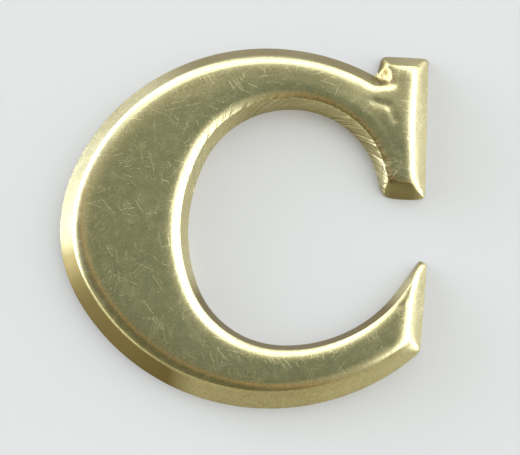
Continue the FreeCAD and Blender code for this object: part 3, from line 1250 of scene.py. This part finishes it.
# %% Pressed brass: scratches on the face, and the finished material
facing_up = add_node(tree, "SeparateXYZ", Vector=places.outputs["Normal"]).outputs[2]
on_face = math_node(tree, "MULTIPLY_ADD", facing_up, 6.0, -4.9, clamp=True)
marks = place_group(tree, scratches, Vector=where).outputs[0]
nicks = times(tree, marks, on_face)
for start, end, bow in SCRATCHES:
    along = Vector(end) - Vector(start)
    middle = (Vector(start) + Vector(end)) / 2 * MM
    one = place_group(
        tree, single, Vector=where, Middle=(middle.x, middle.y, 0.0),
        Angle=-math.atan2(along.y, along.x), Length=along.length * MM / 2, Bow=bow,
    )
    nicks = math_node(tree, "MAXIMUM", nicks, one.outputs[0])
nicks = times(tree, nicks, math_node(tree, "GREATER_THAN", facing_up, 0.0))
colour = mix_colour(tree, times(tree, nicks, 0.34), colour, SCRATCHED)
rough = math_node(tree, "MULTIPLY_ADD", speckle.outputs["Mottle"], 0.14, 0.19)
rough = math_node(tree, "ADD", rough, times(tree, tarnish_and_shade_mask, 0.12), clamp=True)
relief = minus(tree, speckle.outputs["Height"], nicks)
relief = math_node(tree, "ADD", relief, times(tree, furrows, 25.0))
finish_metal(tree, shader, colour, rough, relief, 0.35, 0.00002)
print("material", pressed.name, "has", len(tree.nodes), "nodes")

# %% [markdown]
# The bosses are turned brass that was never polished, and the solder is grey and blotched. Both
# need only the grain: its mottle mixes two colours, and one of its outputs makes the gloss
# uneven.

# %% Turned brass and solder
turned_brass, tree, shader = new_material("turned_boss_brass")
where = tree.nodes.new("ShaderNodeTexCoord").outputs["Object"]
speckle, mottle, height = place_group(tree, grain, Vector=where, Fine=3000.0).outputs
colour = mix_colour(tree, mottle, (0.82, 0.66, 0.32, 1), (0.60, 0.46, 0.20, 1))
rough = math_node(tree, "MULTIPLY_ADD", speckle, 0.2, 0.18)
finish_metal(tree, shader, colour, rough, height, 0.3, 0.00002)

solder, tree, shader = new_material("soft_grey_solder")
where = tree.nodes.new("ShaderNodeTexCoord").outputs["Object"]
flow = place_group(tree, grain, Vector=where, Fine=2200.0, Coarse=900.0)
mottle, height = flow.outputs[1:]
colour = mix_colour(tree, mottle, (0.62, 0.63, 0.64, 1), (0.36, 0.36, 0.37, 1))
rough = math_node(tree, "MULTIPLY_ADD", mottle, 0.3, 0.25)
finish_metal(tree, shader, colour, rough, height, 0.4, 0.00003)
print("materials", turned_brass.name, "and", solder.name)

# %% Give every piece and every CAD node its material
FINISHES = {"pressed_brass": pressed, "turned_brass": turned_brass, "soft_solder": solder}
NODE_FINISHES = {"letter": pressed, "boss": turned_brass, "solder": solder}
for piece in bpy.data.objects:
    if piece.type == "MESH" and "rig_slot" in piece:
        piece.data.materials.clear()
        piece.data.materials.append(FINISHES[piece["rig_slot"]])
for name, node in frame["nodes"].items():
    finish = next(value for key, value in NODE_FINISHES.items() if key in name)
    node.data.materials.clear()
    node.data.materials.append(finish)

# %% [markdown]
# ## The studio
#
# The letter lies on a plain pale floor. The camera stands a little below it and looks down, about
# 15 degrees off upright, from far enough away that near and far parts keep almost the same size.

# %% Camera
EYE = Vector((-5.2, -88.0, 325.4)) * MM
TARGET = Vector((2.34, -0.40, 0.0)) * MM
UP_THE_FRAME = Vector((-0.0438, 0.999, 0.0))
camera_data = bpy.data.cameras.new("camera")
camera = bpy.data.objects.new("camera", camera_data)
bpy.context.scene.collection.objects.link(camera)
back = (EYE - TARGET).normalized()
side = UP_THE_FRAME.cross(back).normalized()
camera.location = EYE
camera.rotation_euler = Matrix((side, back.cross(side), back)).transposed().to_euler()
camera_data.sensor_width = 36.0
camera_data.lens = 174.0
camera_data.clip_start = 0.01
bpy.context.scene.camera = camera
print("camera", round((EYE - TARGET).length / MM), "mm away")

# %% Floor
FLOOR_SIZE, FLOOR_DROP = 3.0, 0.02 * MM
bpy.ops.object.select_all(action="DESELECT")
bpy.ops.mesh.primitive_plane_add(size=FLOOR_SIZE, location=(0, 0, -FLOOR_DROP))
floor = bpy.context.object
floor.name = "pale_floor"
paper, tree, shader = new_material("pale_paper")
shader.inputs["Base Color"].default_value = (0.64, 0.625, 0.61, 1)
shader.inputs["Roughness"].default_value = 0.85
floor.data.materials.append(paper)
print("floor", FLOOR_SIZE, "m across")

# %% [markdown]
# Brass shows what stands around it, so the light is a dome with soft windows in it. A window near
# the horizon shines in the steep walls, one higher up in the shoulders, and what is overhead,
# kept dim, lies on the flat face. Each window is a patch of the dome with soft sides, given by
# its direction and height in degrees.

# %% Group: one soft window
window, start, end = node_group(
    "soft_window",
    [("Turn", "Float", 0.0), ("Height", "Float", 0.0), ("Middle turn", "Float", 0.0),
     ("Half turn", "Float", 30.0), ("Middle height", "Float", 30.0),
     ("Half height", "Float", 15.0), ("Soft", "Float", 8.0)],
    ["Mask"],
)
turn, height, middle_turn, half_turn, middle_height, half_height, soft = start.outputs[:7]
apart = math_node(window, "WRAP", minus(window, turn, middle_turn), 180.0, -180.0)
apart = math_node(window, "ABSOLUTE", apart)
rise = math_node(window, "ABSOLUTE", minus(window, height, middle_height))
sides = math_node(window, "DIVIDE", minus(window, half_turn, apart), soft, clamp=True)
ends = math_node(window, "DIVIDE", minus(window, half_height, rise), soft, clamp=True)
window.links.new(times(window, sides, ends), end.inputs[0])
print("group", window.name)

# %% Light: the plain dome
world = bpy.data.worlds.new("studio")
bpy.context.scene.world = world
world.use_nodes = True
tree = world.node_tree
sky = tree.nodes["Background"]
direction = tree.nodes.new("ShaderNodeTexCoord").outputs["Generated"]
right, up, level = add_node(tree, "SeparateXYZ", Vector=direction).outputs
turn = math_node(tree, "DEGREES", math_node(tree, "ARCTAN2", up, right))
height = math_node(tree, "DEGREES", math_node(tree, "ARCSINE", level))
ramp = add_node(tree, "ValToRGB", Fac=level)
stops = ramp.color_ramp.elements
stops[0].position, stops[0].color = 0.0, (0.50, 0.52, 0.48, 1)
stops[1].position, stops[1].color = 1.0, (0.26, 0.27, 0.22, 1)
OVERHEAD = [  # height as a share of the dome's, and colour: dim just off straight up
    (0.5, (0.36, 0.38, 0.33, 1)), (0.925, (0.40, 0.40, 0.32, 1)), (0.968, (0.09, 0.155, 0.15, 1)),
]
for place, shade in OVERHEAD:
    stops.new(place).color = shade
light = ramp.outputs[0]
print("a dome with", len(stops), "shades from the horizon up")

# %% Light: the windows
WINDOWS = [
    # name, middle turn, half turn, middle height, half height, soft edge, colour
    ("pale ceiling", 90, 85, 44, 24, 14, (0.50, 0.51, 0.45, 1)),
    ("right window", 17, 57, 30, 27, 10, (3.2, 3.4, 3.6, 1)),
    ("upper window", 92, 36, 29, 22, 12, (2.8, 2.95, 3.0, 1)),
    ("left window", 143, 42, 8, 21, 10, (3.3, 3.6, 4.1, 1)),
    ("low left window", 160, 30, 3, 12, 6, (17.0, 19.0, 24.0, 1)),
    ("low right window", 10, 22, 2, 12, 6, (4.6, 4.9, 5.6, 1)),
    ("lower left glow", 222, 42, 15, 9, 5, (2.2, 2.2, 1.7, 1)),
    ("lower glow", 280, 60, 4, 22, 12, (0.50, 0.46, 0.30, 1)),
]
for label, *measures, colour in WINDOWS:
    one = place_group(tree, window, Turn=turn, Height=height)
    one.label = label
    for socket, value in zip(list(one.inputs)[2:], measures):
        socket.default_value = float(value)
    light = mix_colour(tree, one.outputs[0], light, colour)
print(len(WINDOWS), "windows")

# %% [markdown]
# A dark card stands at the lower left, above the glow there. It gives the face its deep side, and
# its amber edge makes the brown band along the shoulder.

# %% Light: the dark card with its amber edge
CARD_FACES = (0.687, 0.673, 0.273)
CARD_DARK, CARD_AMBER = (0.14, 0.14, 0.09, 1), (0.75, 0.40, 0.14, 1)
towards = add_node(tree, "VectorMath", {"operation": "DOT_PRODUCT"}, i0=direction, i1=CARD_FACES)
facing = towards.outputs["Value"]
above = math_node(tree, "DIVIDE", minus(tree, height, 24.0), 8.0, clamp=True)
card = math_node(tree, "DIVIDE", minus(tree, -0.08, facing), 0.08, clamp=True)
light = mix_colour(tree, times(tree, card, above), light, CARD_DARK)
edge = hill(tree, math_node(tree, "ABSOLUTE", math_node(tree, "ADD", facing, 0.06)), 0.07)
light = mix_colour(tree, times(tree, edge, above), light, CARD_AMBER)
tree.links.new(light, sky.inputs["Color"])
sky.inputs["Strength"].default_value = 1.0
bpy.context.scene.view_settings.view_transform = "Standard"
print("the dome has", len(tree.nodes), "nodes")
